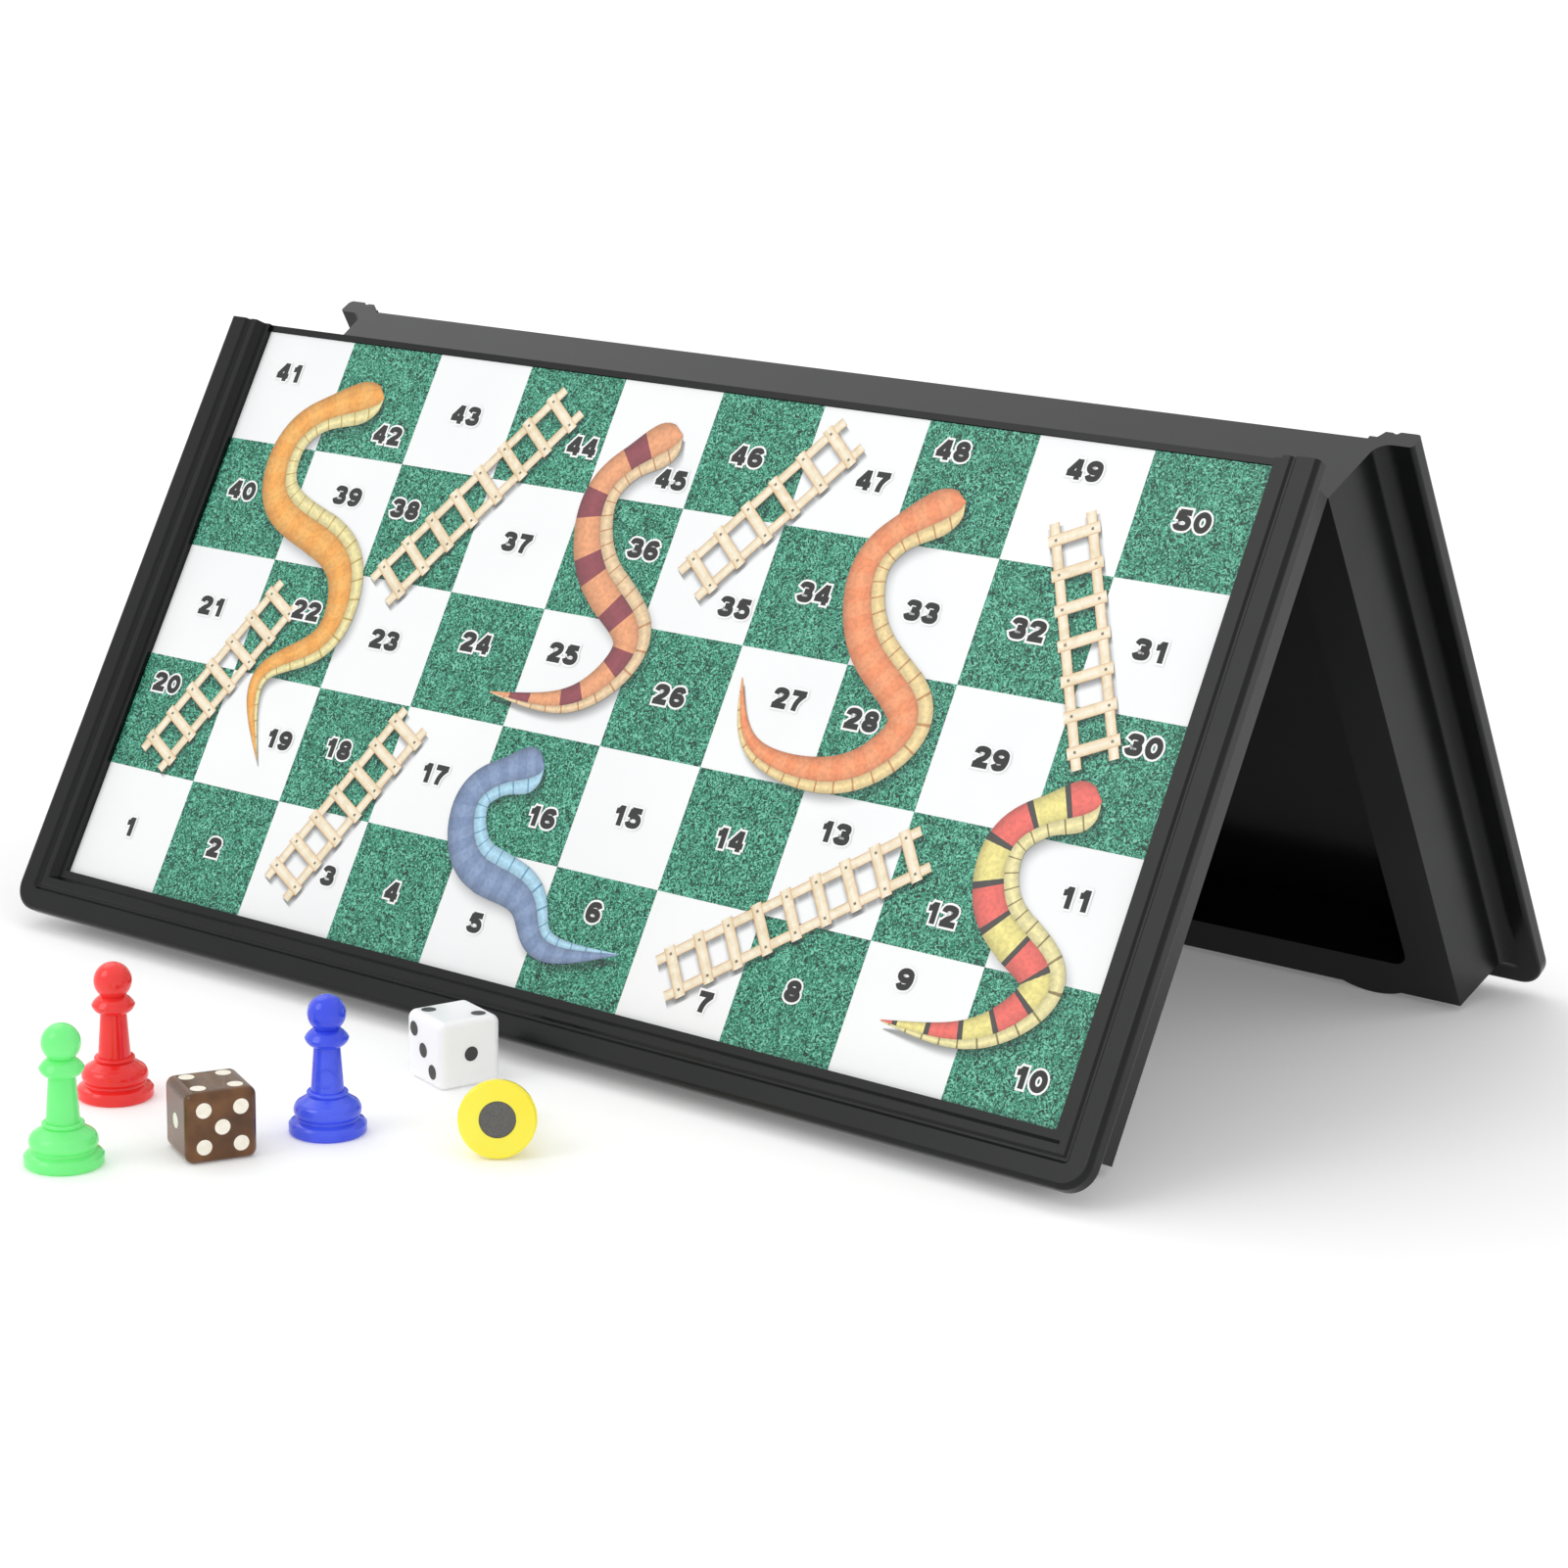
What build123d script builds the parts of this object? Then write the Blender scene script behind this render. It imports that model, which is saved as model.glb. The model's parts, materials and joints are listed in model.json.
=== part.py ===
from build123d import *
from math import asin, atan2, cos, degrees, hypot, radians, sin
import os

# Folding magnetic game board: two hollow trays hinged at their rims, shown standing as a tent.
# Each half is drawn lying flat: X along the hinge, Y away from the hinge, Z up to the play side.
# The hinge axis is the X axis, in the plane of the two rims. Millimetres.

# The board
board_width = 250.0
half_depth = 125.0
play_height = 16.5
border_width = 9.2
border_rise = 2.9
tent_angle = 59.0
rim_gap = 0.1

# Tray moulding
wall = 2.2
inner_wall = 1.8
rim_web = 2.0
floor_web = 2.0
side_rim = 9.3
outer_rim = 7.5
hinge_wall = 3.0
side_inset = 7.8
wall_draft = 1.0
cavity_corner = 3.0
rib_width = 1.5
rib_spacing = 36.0

# Border moulding round the print
cove_radius = 3.0
flange_edge = 3.6
lower_round = 0.8
upper_round = 1.0
groove_at = 4.1
groove_width = 0.4
groove_depth = 0.6
groove_side = 0.5
bead_width = 1.4
bead_drop = 0.3
bead_slope = 0.8
ledge_rise = 1.0
corner_radius = 5.0
lip_width = 1.3
lip_rise = 0.3

# Play side layers
plate_thickness = 0.4
sheet_thickness = 0.3
layer_clearance = 0.1

# Hinges
hinge_spread = 150.0
knuckle_radius = 2.4
pin_radius = 0.8
pin_clearance = 0.05
knuckle_clearance = 0.3
fixed_knuckle = 6.0
moving_knuckle = 10.0
boss_depth = 3.4
boss_height = 7.0
boss_margin = 2.0

# Grip lugs on the outer walls
lug_spread = 197.2
lug_width = 12.5
lug_rise = 1.4
lug_height = 6.0

# Pawns
pawn_base_radius = 6.45
pawn_rim_height = 2.1
pawn_edge = 0.4
pawn_waist_radius = 5.2
pawn_belly_radius = 5.6
pawn_belly_height = 4.1
pawn_shoulder_radius = 4.6
pawn_shoulder_height = 5.6
pawn_ring_foot_radius = 3.2
pawn_ring_radius = 3.45
pawn_ring_height = 6.9
pawn_ring_half = 0.35
pawn_stem_low = 2.75
pawn_stem_high = 2.2
pawn_collar_foot_radius = 2.5
pawn_collar_below = 1.4
pawn_collar_radius = 3.65
pawn_collar_height = 16.3
pawn_neck_height = 17.9
pawn_head_radius = 3.2
pawn_head_height = 20.4
magnet_radius = 3.0
magnet_thickness = 2.0
magnet_clearance = 0.03
magnet_recess = 0.15

# Dice
die_size = 12.0
die_round = 1.5
pip_radius = 1.3
pip_depth = 0.4
pip_step = 3.1

# Where the loose pieces stand: X along the hinge, Y in front of the hinge line, turn in degrees
pawn_places = {
    "green": (-13.1, -164.4),
    "red": (-32.0, -136.2),
    "blue": (7.6, -125.6),
}
yellow_place = (37.8, -117.4)
yellow_heading = -48.0
brown_die_place = (0.2, -144.7)
brown_die_turn = 64.0
white_die_place = (4.2, -91.6)
white_die_turn = 73.0

# Sizes that follow
half_width = board_width / 2
lean = tent_angle / 2
tilt = 90 - lean
plate_bed = play_height - sheet_thickness - plate_thickness
border_top = play_height + border_rise
flange_under = border_top - flange_edge
sheet_edge_x = half_width - border_width
sheet_edge_y = half_depth - border_width
wall_out = border_width - side_inset
cavity_x = half_width - side_inset - side_rim
cavity_y = half_depth - side_inset - outer_rim
inner_x = cavity_x + inner_wall
inner_y = cavity_y + inner_wall
cavity_depth = plate_bed - floor_web
wall_x = half_width - side_inset
wall_y = half_depth - side_inset
channel_x = wall_x - wall
channel_y = wall_y - wall
clear_of_board = 10.0


def slab(low_x, high_x, low_y, high_y, low_z, high_z):
    """A block between the given limits."""
    size = (high_x - low_x, high_y - low_y, high_z - low_z)
    middle = ((low_x + high_x) / 2, (low_y + high_y) / 2, (low_z + high_z) / 2)
    return Pos(*middle) * Box(*size)


def border_face():
    """Section of outer wall and border: x is outward from the edge of the print, y is height."""
    wall_top = wall_out + wall_draft
    cove_x = wall_top + cove_radius
    cove_y = flange_under - cove_radius
    tip = border_width
    band = tip - groove_at
    bead = band - groove_side - groove_width - groove_side
    outline = Line((wall_out - wall, rim_gap), (wall_out, rim_gap))
    outline += Line((wall_out, rim_gap), (wall_top, cove_y))
    outline += CenterArc((cove_x, cove_y), cove_radius, 180, -90)
    outline += Line((cove_x, flange_under), (tip - lower_round, flange_under))
    outline += CenterArc((tip - lower_round, flange_under + lower_round), lower_round, -90, 90)
    outline += Line((tip, flange_under + lower_round), (tip, border_top - upper_round))
    outline += CenterArc((tip - upper_round, border_top - upper_round), upper_round, 0, 90)
    outline += Polyline(
        (tip - upper_round, border_top),
        (band, border_top),
        (band - groove_side, border_top - groove_depth),
        (band - groove_side - groove_width, border_top - groove_depth),
        (bead, border_top - bead_drop),
        (bead - bead_width, border_top - bead_drop),
        (bead - bead_width - bead_slope, play_height + ledge_rise),
        (0, play_height + ledge_rise),
        (0, plate_bed),
        (wall_out - wall, plate_bed),
        (wall_out - wall, rim_gap),
    )
    return make_face(outline)


def side_border():
    """Right-hand border and wall, mitred at the outer corner."""
    plane = Plane(origin=(sheet_edge_x, rim_gap, 0), x_dir=(1, 0, 0), z_dir=(0, -1, 0))
    bar = extrude(plane * border_face(), -(half_depth - rim_gap))
    reach = border_width + clear_of_board
    keep = make_face(Polyline(
        (half_width - reach, -reach),
        (half_width + reach, -reach),
        (half_width + reach, half_depth + reach),
        (half_width - reach, half_depth - reach),
        (half_width - reach, -reach),
    ))
    return bar & extrude(keep, border_top + reach)


def outer_border():
    """Border and wall along the outer side, mitred at both ends."""
    plane = Plane(origin=(-half_width, sheet_edge_y, 0), x_dir=(0, 1, 0), z_dir=(1, 0, 0))
    bar = extrude(plane * border_face(), board_width)
    reach = border_width + clear_of_board
    keep = make_face(Polyline(
        (reach - half_width, half_depth - reach),
        (half_width - reach, half_depth - reach),
        (half_width + reach, half_depth + reach),
        (-half_width - reach, half_depth + reach),
        (reach - half_width, half_depth - reach),
    ))
    return bar & extrude(keep, border_top + reach)


def corner_square():
    """The block at the right-hand outer corner that the rounded corner replaces."""
    margin = 1.0
    return slab(
        half_width - corner_radius, half_width + margin,
        half_depth - corner_radius, half_depth + margin,
        -margin, border_top + margin,
    )


def round_corner():
    """Border turned round the right-hand outer corner."""
    plane = Plane(origin=(half_width - border_width, half_depth - corner_radius, 0),
                  x_dir=(1, 0, 0), z_dir=(0, -1, 0))
    kept = Pos(border_width - corner_radius / 2, border_top / 2) * Rectangle(corner_radius, 2 * border_top)
    section = plane * (border_face() & kept)
    centre = Axis((half_width - corner_radius, half_depth - corner_radius, 0), (0, 0, 1))
    return revolve(section, centre, 90)


def border():
    """Wall and border on three sides of a half."""
    right = side_border()
    frame = right + mirror(right, about=Plane.YZ) + outer_border()
    square = corner_square()
    turned = round_corner()
    frame -= square
    frame -= mirror(square, about=Plane.YZ)
    return frame + turned + mirror(turned, about=Plane.YZ)


def inner_shell():
    """Storage cavity with its walls, and the web that carries the steel plate."""
    block = slab(-inner_x, inner_x, rim_gap, inner_y, rim_gap, plate_bed)
    cavity = slab(-cavity_x, cavity_x, hinge_wall, cavity_y, 0, cavity_depth)
    upright = cavity.edges().filter_by(Axis.Z)
    return block - fillet(upright, cavity_corner)


def rim():
    """Flat face of the rim that closes the channel between the outer and inner walls."""
    face = slab(-channel_x, channel_x, rim_gap, channel_y, rim_gap, rim_web)
    opening = slab(-inner_x, inner_x, 0, inner_y, 0, rim_web)
    return face - opening


def ribs():
    """Cross ribs in the channel: they tie the walls together and carry the plate's edge."""
    rows = max(1, round(inner_y / rib_spacing))
    columns = max(1, round(2 * inner_x / rib_spacing))
    found = []
    for row in range(rows):
        y = inner_y * (row + 0.5) / rows
        for side in (-1, 1):
            ends = sorted((side * inner_x, side * channel_x))
            found.append(slab(*ends, y - rib_width / 2, y + rib_width / 2, rim_gap, plate_bed))
    for column in range(columns):
        x = inner_x * (2 * (column + 0.5) / columns - 1)
        found.append(slab(x - rib_width / 2, x + rib_width / 2, inner_y, channel_y, rim_gap, plate_bed))
    return found


def end_walls():
    """Hinge wall between the inner shell and the borders, and the lip along the print."""
    full = slab(-channel_x, channel_x, rim_gap, hinge_wall, rim_gap, plate_bed)
    lip = slab(-sheet_edge_x, sheet_edge_x, rim_gap, lip_width, plate_bed, play_height + lip_rise)
    return full + lip


def lugs():
    """Low rounded grip lugs on the outer wall at the rim."""
    arc_radius = (lug_width ** 2 / 4 + lug_rise ** 2) / (2 * lug_rise)
    made = []
    for side in (-1, 1):
        centre = (side * lug_spread / 2, wall_y + lug_rise - arc_radius, rim_gap + lug_height / 2)
        drum = Pos(*centre) * Cylinder(arc_radius, lug_height)
        x = side * lug_spread / 2
        kept = slab(x - lug_width / 2, x + lug_width / 2, channel_y, wall_y + lug_rise,
                    rim_gap, rim_gap + lug_height)
        made.append(drum & kept)
    return made


def hinge_drum(x_from, x_to, radius):
    """A cylinder round the hinge axis."""
    return Pos((x_from + x_to) / 2, 0, 0) * Rot(0, 90, 0) * Cylinder(radius, x_to - x_from)


def hinge_stations():
    """Middle of each hinge along the axis."""
    return (-hinge_spread / 2, hinge_spread / 2)


def fixed_spans(x):
    """Spans of the two knuckles of the front half at one hinge."""
    near = moving_knuckle / 2 + knuckle_clearance
    return ((x - near - fixed_knuckle, x - near), (x + near, x + near + fixed_knuckle))


def moving_spans(x):
    """Span of the knuckle of the rear half at one hinge."""
    return ((x - moving_knuckle / 2, x + moving_knuckle / 2),)


def with_hinges(tray, own_spans, other_spans):
    """Adds bosses and knuckles, and clears room for the other half's knuckles."""
    for x in hinge_stations():
        reach = moving_knuckle / 2 + knuckle_clearance + fixed_knuckle + boss_margin
        tray += slab(x - reach, x + reach, rim_gap, hinge_wall + boss_depth, rim_gap, boss_height)
    for x in hinge_stations():
        for x_from, x_to in other_spans(x):
            tray -= hinge_drum(x_from - knuckle_clearance, x_to + knuckle_clearance,
                               knuckle_radius + knuckle_clearance)
        for x_from, x_to in own_spans(x):
            tray += hinge_drum(x_from, x_to, knuckle_radius)
        outer = fixed_spans(x)
        tray -= hinge_drum(outer[0][0], outer[1][1], pin_radius + pin_clearance)
    return tray


def plain_tray():
    """One tray without its hinge."""
    tray = border() + inner_shell() + rim() + end_walls()
    for extra in ribs() + lugs():
        tray += extra
    return tray


def play_layer(low_z, thickness):
    """A sheet that fits the recess of the play side."""
    return slab(
        layer_clearance - sheet_edge_x, sheet_edge_x - layer_clearance,
        lip_width + layer_clearance, sheet_edge_y - layer_clearance,
        low_z, low_z + thickness,
    )


def hinge_pins():
    """Steel pins, as long as their knuckles."""
    pins = {}
    for side, x in zip(("left", "right"), hinge_stations()):
        outer = fixed_spans(x)
        pins[f"hinge_pin_{side}"] = hinge_drum(outer[0][0], outer[1][1], pin_radius)
    return pins


def front_place(shape):
    """From the flat layout to the front of the tent."""
    return Rot(tilt, 0, 0) * mirror(shape, about=Plane.XZ)


def rear_place(shape):
    """From the flat layout to the back of the tent."""
    return Rot(-tilt, 0, 0) * shape


def floor_height():
    """Height of the floor below the hinge axis: the board stands on its four lugs."""
    return -(wall_y + lug_rise) * cos(radians(lean)) + rim_gap * sin(radians(lean))


def pawn_outline():
    """Half section of a pawn: x is the radius, y the height above its foot."""
    top = pawn_head_height + pawn_head_radius
    drop = pawn_head_height - pawn_neck_height
    neck_radius = (pawn_head_radius ** 2 - drop ** 2) ** 0.5
    foot_edge = pawn_base_radius - pawn_edge
    groove_low = pawn_rim_height + pawn_edge
    groove_high = groove_low + pawn_edge
    shoulder = (pawn_shoulder_radius, pawn_shoulder_height)
    ring_low = (pawn_ring_foot_radius, pawn_ring_height - pawn_ring_half)
    ring_high = (pawn_ring_foot_radius, pawn_ring_height + pawn_ring_half)
    collar_low = (pawn_collar_foot_radius, pawn_collar_height - pawn_collar_below)
    collar_mid = (
        (pawn_collar_foot_radius + 3 * pawn_collar_radius) / 4,
        pawn_collar_height - pawn_collar_below / 2,
    )
    collar_edge = (pawn_collar_radius, pawn_collar_height)
    collar_top = (
        (neck_radius + 2 * pawn_collar_radius) / 3,
        (pawn_collar_height + pawn_neck_height) / 2,
    )
    line = Polyline(
        (0, 0),
        (foot_edge, 0),
        (pawn_base_radius, pawn_edge),
        (pawn_base_radius, pawn_rim_height - pawn_edge),
        (foot_edge, pawn_rim_height),
        (pawn_waist_radius, groove_low),
        (pawn_waist_radius, groove_high),
    )
    line += ThreePointArc(
        (pawn_waist_radius, groove_high), (pawn_belly_radius, pawn_belly_height), shoulder)
    line += Line(shoulder, ring_low)
    line += ThreePointArc(ring_low, (pawn_ring_radius, pawn_ring_height), ring_high)
    line += Line(ring_high, (pawn_stem_low, ring_high[1]))
    line += Line((pawn_stem_low, ring_high[1]), (pawn_stem_high, collar_low[1]))
    line += Line((pawn_stem_high, collar_low[1]), collar_low)
    line += ThreePointArc(collar_low, collar_mid, collar_edge)
    line += ThreePointArc(collar_edge, collar_top, (neck_radius, pawn_neck_height))
    line += ThreePointArc(
        (neck_radius, pawn_neck_height), (pawn_head_radius, pawn_head_height), (0, top))
    line += Line((0, top), (0, 0))
    return make_face(line)


def pawn():
    """A turned pawn with a pocket for its magnet."""
    body = revolve(Plane.XZ * pawn_outline(), Axis.Z, 360)
    pocket_depth = magnet_recess + magnet_thickness
    pocket = Pos(0, 0, pocket_depth / 2) * Cylinder(magnet_radius + magnet_clearance, pocket_depth)
    return body - pocket


def magnet():
    """Disc magnet, set just inside the foot of a pawn."""
    return Pos(0, 0, magnet_recess + magnet_thickness / 2) * Cylinder(magnet_radius, magnet_thickness)


def lying_place():
    """Where the pawn that lies on its side is: foot rim and head both touch the floor."""
    run = pawn_head_height - pawn_rim_height
    slant = degrees(atan2(pawn_base_radius, run) - asin(pawn_head_radius / hypot(pawn_base_radius, run)))
    lift = pawn_base_radius * cos(radians(slant)) + pawn_rim_height * sin(radians(slant))
    return Rot(0, 0, yellow_heading + 180) * Pos(0, 0, lift) * Rot(0, 90 + slant, 0)


def die_faces(numbers):
    """Pip centres for six faces: numbers are top, front, right, back, left, bottom."""
    spots = {
        1: ((0, 0),),
        2: ((-1, 1), (1, -1)),
        3: ((-1, 1), (0, 0), (1, -1)),
        4: ((-1, -1), (-1, 1), (1, -1), (1, 1)),
        5: ((-1, -1), (-1, 1), (0, 0), (1, -1), (1, 1)),
        6: ((-1, -1), (-1, 0), (-1, 1), (1, -1), (1, 0), (1, 1)),
    }
    planes = (
        Plane(origin=(0, 0, die_size), x_dir=(1, 0, 0), z_dir=(0, 0, 1)),
        Plane(origin=(0, -die_size / 2, die_size / 2), x_dir=(1, 0, 0), z_dir=(0, -1, 0)),
        Plane(origin=(die_size / 2, 0, die_size / 2), x_dir=(0, 1, 0), z_dir=(1, 0, 0)),
        Plane(origin=(0, die_size / 2, die_size / 2), x_dir=(-1, 0, 0), z_dir=(0, 1, 0)),
        Plane(origin=(-die_size / 2, 0, die_size / 2), x_dir=(0, -1, 0), z_dir=(-1, 0, 0)),
        Plane(origin=(0, 0, 0), x_dir=(1, 0, 0), z_dir=(0, 0, -1)),
    )
    return [(plane, spots[number]) for plane, number in zip(planes, numbers)]


def die(numbers):
    """A die with its sunk pips, and the paint discs that fill them."""
    cube = Pos(0, 0, die_size / 2) * Box(die_size, die_size, die_size)
    cube = fillet(cube.edges(), die_round)
    discs = []
    for plane, spots in die_faces(numbers):
        for across, up in spots:
            spot = plane * Pos(across * pip_step, up * pip_step, -pip_depth / 2)
            discs.append(spot * Cylinder(pip_radius, pip_depth))
    for disc in discs:
        cube -= disc
    return cube, Compound(children=[disc.solid() for disc in discs])


def collect():
    """Every piece of the set, with the hinge axis as the X axis."""
    tray = plain_tray()
    plate = play_layer(plate_bed, plate_thickness)
    sheet = play_layer(plate_bed + plate_thickness, sheet_thickness)
    pieces = {
        "front_tray": front_place(with_hinges(tray, fixed_spans, moving_spans)),
        "rear_tray": rear_place(with_hinges(tray, moving_spans, fixed_spans)),
        "front_steel_plate": front_place(plate),
        "rear_steel_plate": rear_place(plate),
        "front_play_sheet": front_place(sheet),
        "rear_play_sheet": rear_place(sheet),
    }
    pieces.update(hinge_pins())
    ground = floor_height()
    for colour, (x, y) in pawn_places.items():
        pieces[f"{colour}_pawn"] = Pos(x, y, ground) * pawn()
        pieces[f"{colour}_pawn_magnet"] = Pos(x, y, ground) * magnet()
    lying = Pos(*yellow_place, ground) * lying_place()
    pieces["yellow_pawn"] = lying * pawn()
    pieces["yellow_pawn_magnet"] = lying * magnet()
    dice = {
        "brown": (brown_die_place, brown_die_turn, (4, 5, 6, 2, 1, 3)),
        "white": (white_die_place, white_die_turn, (2, 1, 4, 6, 3, 5)),
    }
    for colour, (place, turn, numbers) in dice.items():
        cube, pips = die(numbers)
        spot = Pos(*place, ground) * Rot(0, 0, turn)
        pieces[f"{colour}_die"] = spot * cube
        pieces[f"{colour}_die_pips"] = spot * pips
    return pieces


def main():
    """Writes one file per piece; the origin is the middle of the floor that the set covers."""
    pieces = collect()
    boxes = [piece.bounding_box() for piece in pieces.values()]
    low_x = min(box.min.X for box in boxes)
    high_x = max(box.max.X for box in boxes)
    low_y = min(box.min.Y for box in boxes)
    high_y = max(box.max.Y for box in boxes)
    floor = min(box.min.Z for box in boxes)
    shift = Pos(-(low_x + high_x) / 2, -(low_y + high_y) / 2, -floor)
    os.makedirs("parts", exist_ok=True)
    for name, piece in pieces.items():
        print(name, round(piece.volume, 1), "cubic millimetres")
        export_step(shift * piece, f"parts/{name}.step")
    print("hinge axis at", shift.position)


main()
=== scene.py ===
import json
from math import atan2, cos, hypot, pi, radians, sin

import bmesh
import bpy
from mathutils import Matrix, Vector


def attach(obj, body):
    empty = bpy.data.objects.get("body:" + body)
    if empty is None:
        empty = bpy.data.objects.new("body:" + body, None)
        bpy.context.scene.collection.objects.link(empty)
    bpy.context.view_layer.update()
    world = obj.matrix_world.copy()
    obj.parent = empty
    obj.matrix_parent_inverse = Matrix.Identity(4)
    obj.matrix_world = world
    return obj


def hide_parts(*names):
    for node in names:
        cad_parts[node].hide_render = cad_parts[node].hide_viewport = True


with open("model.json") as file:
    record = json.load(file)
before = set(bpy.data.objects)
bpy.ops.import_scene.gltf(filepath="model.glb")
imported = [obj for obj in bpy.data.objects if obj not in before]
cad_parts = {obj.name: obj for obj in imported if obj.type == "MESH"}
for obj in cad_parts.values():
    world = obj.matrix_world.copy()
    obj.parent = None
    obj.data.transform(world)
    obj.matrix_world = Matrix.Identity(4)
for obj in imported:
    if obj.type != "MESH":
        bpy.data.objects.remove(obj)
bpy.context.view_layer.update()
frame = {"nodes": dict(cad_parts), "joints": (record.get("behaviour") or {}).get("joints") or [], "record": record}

# Folding magnetic game board with its pawns and dice. Lengths are in millimetres unless named
# otherwise, and the frame is in metres.

MM = 0.001

# Play side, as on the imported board
FIELD_HALF_WIDTH = 115.8
FIELD_NEAR = 1.3
FIELD_FAR = 115.8
PLAY_HEIGHT = 16.5
SHEET_THICKNESS = 0.3
SHEET_GAP = 0.1
COLUMNS = 10
ROWS = 5
COLUMN_PITCH = 2 * FIELD_HALF_WIDTH / COLUMNS
ROW_PITCH = (FIELD_FAR - FIELD_NEAR) / ROWS

# Heights of the print's layers above the sheet, and the thickness of the green ink
INK = 0.01
GREEN_LAYER = 0.01
SHADOW_LAYER = 0.03
LADDER_LAYER = 0.05
WINDING_LAYER = 0.07
WINDING_CLIMB = 0.02
HALO_LAYER = 0.10
NUMBER_LAYER = 0.11

# Numbers: heavy upright digits, drawn as strokes. Each stroke lies a hair above the one before it
DIGIT_HEIGHT = 3.75
DIGIT_STEP = 3.75
DIGIT_ONE_STEP = 3.2
STROKE_WIDTH = 1.08
HALO_REACH = 0.38
STROKE_LIFT = 0.003

# Ladders, as printed
RAIL_GAP = 7.0
RAIL_WIDTH = 1.9
RUNG_WIDTH = 2.2
RUNG_PITCH = 6.3
RUNG_OVERHANG = 0.5
PEG_SIZE = 0.5
LADDER_SHADOW_SPREAD = 1.8
LADDER_SHADOW_SHIFT = (0.5, -0.7)

# Winding bodies, as printed: half widths, then where they hold as shares of the body's length
BODY_HALF_WIDTH = 4.5
NECK_HALF_WIDTH = 3.7
HEAD_TIP = 0.05
TAIL_TIP = 0.12
TAIL_POWER = 1.6
HEAD_SHARE = 0.055
NECK_SHARE = 0.132
MIDDLE_SHARE = 0.45
BODY_STEPS = 16
BODY_LANES = 6
BEND_PASSES = 30
BELLY_EDGE = 0.68
PLATE_PITCH = 3.4
BODY_SHADOW_SPREAD = 1.4
BODY_SHADOW_SHIFT = (1.0, -1.3)

# Laminate over the print
LAMINATE = {"Coat_Weight": 0.35, "Coat_Roughness": 0.16}

# Ring on the blue pawn's stem
MARK_HEIGHT = 9.9
MARK_RADIUS = 1.5
MARK_TUBE = 0.18
MARK_STEPS = 36
MARK_SIDES = 8

# Camera, from the hinge's middle: it was solved from the squares and rims in the photo
CAMERA_OFFSET = (441.2, -560.7, 110.4)
CAMERA_HEADING = 37.97
CAMERA_PITCH = 75.9
CAMERA_ROLL = 1.03
CAMERA_LENS = 89.63
CAMERA_SENSOR = 36.0
CAMERA_SIDE = Vector((CAMERA_OFFSET[0], CAMERA_OFFSET[1], 0.0)).normalized()

# Studio: the floor's reach is in metres, and light of strength 1 from the world is white
FLOOR_REACH = 6.0
FLOOR_GLOW = 0.15
WORLD_LIGHT = 0.86
WORLD_SEEN = 1.0


def linear(code):
    """Linear colour from an sRGB hex code."""
    parts = [int(code[i:i + 2], 16) / 255 for i in (1, 3, 5)]
    curve = [p / 12.92 if p <= 0.04045 else ((p + 0.055) / 1.055) ** 2.4 for p in parts]
    return (*curve, 1.0)


def add(tree, kind, inputs=None, stops=(), **settings):
    """Adds a node: its inputs are values or other nodes' outputs, and stops are a ramp's colours."""
    made = tree.nodes.new(kind)
    for key, value in settings.items():
        setattr(made, key, value)
    for key, value in (inputs or {}).items():
        if isinstance(value, bpy.types.NodeSocket):
            tree.links.new(value, made.inputs[key])
        else:
            made.inputs[key].default_value = value
    if stops:
        elements = made.color_ramp.elements
        while len(elements) < len(stops):
            elements.new(0.5)
        for element, (place, code) in zip(elements, stops):
            element.position = place
            element.color = linear(code)
    return made


def new_material(name, **settings):
    """A material with one principled shader and its values."""
    made = bpy.data.materials.new(name)
    made.use_nodes = True
    shader = made.node_tree.nodes["Principled BSDF"]
    for key, value in settings.items():
        shader.inputs[key.replace("_", " ")].default_value = value
    return made, made.node_tree, shader


def mottle(tree, shader, spacing, stops, detail=3.0, distortion=0.0):
    """Colours the surface in blotches that are about spacing millimetres apart."""
    place = add(tree, "ShaderNodeTexCoord")
    blotches = add(tree, "ShaderNodeTexNoise", {
        "Vector": place.outputs["Object"], "Scale": 1 / (spacing * MM), "Detail": detail,
        "Distortion": distortion})
    colour = add(tree, "ShaderNodeValToRGB", {"Fac": blotches.outputs["Fac"]}, stops)
    tree.links.new(colour.outputs["Color"], shader.inputs["Base Color"])


def uneven_gloss(tree, shader, spacing, smooth, rough, detail=2.0):
    """Roughness between two values, in patches that are about spacing millimetres apart."""
    place = add(tree, "ShaderNodeTexCoord")
    patches = add(tree, "ShaderNodeTexNoise", {
        "Vector": place.outputs["Object"], "Scale": 1 / (spacing * MM), "Detail": detail})
    gloss = add(tree, "ShaderNodeMapRange", {
        "Value": patches.outputs["Fac"], "To Min": smooth, "To Max": rough})
    tree.links.new(gloss.outputs["Result"], shader.inputs["Roughness"])


def uneven_face(tree, shader, spacing, height, strength, detail=3.0):
    """Bumps of a height in millimetres, about spacing millimetres apart."""
    place = add(tree, "ShaderNodeTexCoord")
    bumps = add(tree, "ShaderNodeTexNoise", {
        "Vector": place.outputs["Object"], "Scale": 1 / (spacing * MM), "Detail": detail})
    face = add(tree, "ShaderNodeBump", {
        "Height": bumps.outputs["Fac"], "Strength": strength, "Distance": height * MM})
    tree.links.new(face.outputs["Normal"], shader.inputs["Normal"])


def moulded_black_styrene():
    """Black polystyrene, injection moulded: satin, faintly pebbled, a little dustier in patches."""
    made, tree, shader = new_material("moulded_black_styrene", IOR=1.46, Specular_IOR_Level=0.31)
    mottle(tree, shader, 24.0, ((0.3, "#0a0b0b"), (0.7, "#101111")))
    uneven_gloss(tree, shader, 9.0, 0.21, 0.27)
    uneven_face(tree, shader, 0.9, 0.012, 0.4)
    return made


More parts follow.
